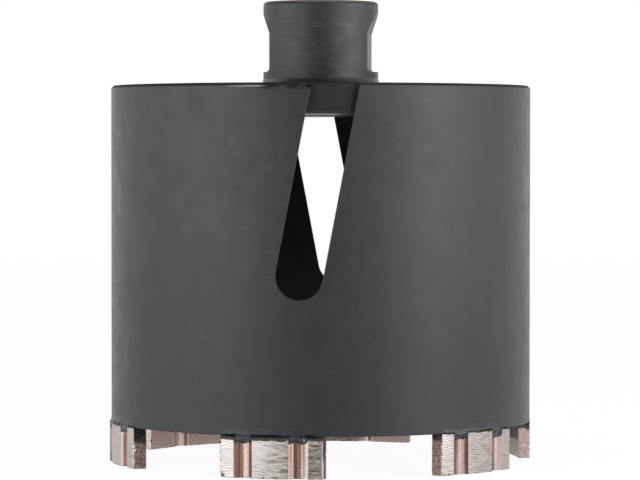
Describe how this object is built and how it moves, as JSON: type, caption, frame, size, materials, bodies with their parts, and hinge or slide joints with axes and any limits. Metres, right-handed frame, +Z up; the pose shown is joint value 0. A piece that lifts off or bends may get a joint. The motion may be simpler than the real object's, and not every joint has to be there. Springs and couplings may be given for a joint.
{
  "type": "diamond core bit",
  "caption": "Dry diamond core bit: slotted steel core tube closed by a back plate with a threaded hub, and grooved cutting segments brazed to the open rim.",
  "frame": {"origin": "on the bit's axis, in the cutting plane that the segments' lower faces share", "axes": "+Z up the bit's axis towards the threaded hub, -Y through the slot that faces the front, +X to the right seen from the front"},
  "size_m": [0.0818, 0.082, 0.0889],
  "materials": {
    "painted_steel": "satin black",
    "painted_braze": "glossy black",
    "segment_matrix": "ground bronze and diamond grit"
  },
  "bodies": {
    "root": {"tube": "painted_steel", "back_plate": "painted_steel", "threaded_hub": "painted_steel", "hub_braze": "painted_braze", "segment_1": "segment_matrix", "segment_2": "segment_matrix", "segment_3": "segment_matrix", "segment_4": "segment_matrix", "segment_5": "segment_matrix", "segment_6": "segment_matrix", "segment_braze_1": "painted_braze", "segment_braze_2": "painted_braze", "segment_braze_3": "painted_braze", "segment_braze_4": "painted_braze", "segment_braze_5": "painted_braze", "segment_braze_6": "painted_braze"}
  },
  "joints": []
}
